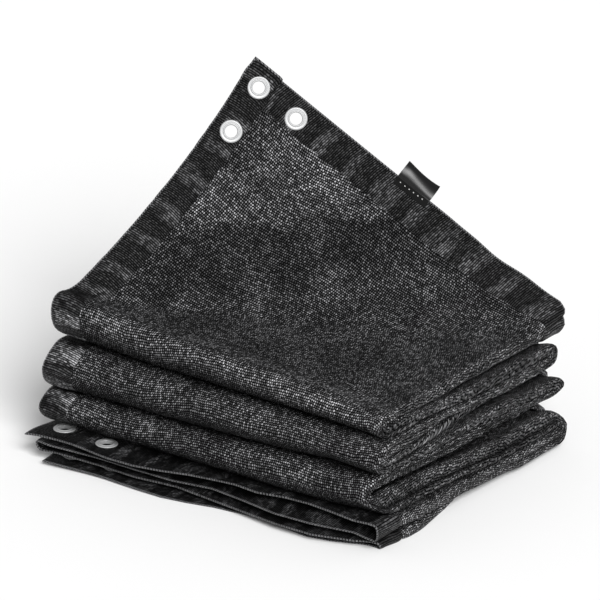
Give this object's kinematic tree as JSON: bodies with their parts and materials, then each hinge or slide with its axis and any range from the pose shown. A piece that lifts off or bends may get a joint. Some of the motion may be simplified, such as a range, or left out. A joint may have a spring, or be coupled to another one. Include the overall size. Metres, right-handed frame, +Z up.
{
  "type": "folded shade cloth",
  "caption": "Black knitted shade cloth folded into a pile, one corner raised, with hems, metal eyelets and a ribbon tab.",
  "frame": {"origin": "middle of the underside of the whole object's box", "axes": "+X along the pile's longer side from the left corner to the near corner, +Y from the near corner to the right corner, +Z up"},
  "size_m": [0.4242, 0.3592, 0.3841],
  "materials": {
    "knit": "black knitted mesh of flat yarn, small glints",
    "hem": "black folded mesh hem, stitched",
    "metal": "pressed bright eyelet",
    "ribbon": "black satin ribbon"
  },
  "bodies": {
    "root": {"cloth": "knit", "cloth_top": "knit", "hem_side": "hem", "hem_end": "hem", "hem_tip": "hem", "hem_under": "hem", "hem_fold": "hem", "hem_roll": "hem", "eyelet_1": "metal", "eyelet_2": "metal", "eyelet_3": "metal", "eyelet_4": "metal", "eyelet_5": "metal", "eyelet_6": "metal", "eyelet_7": "metal", "eyelet_8": "metal", "eyelet_9": "metal", "tab": "ribbon"}
  },
  "joints": []
}
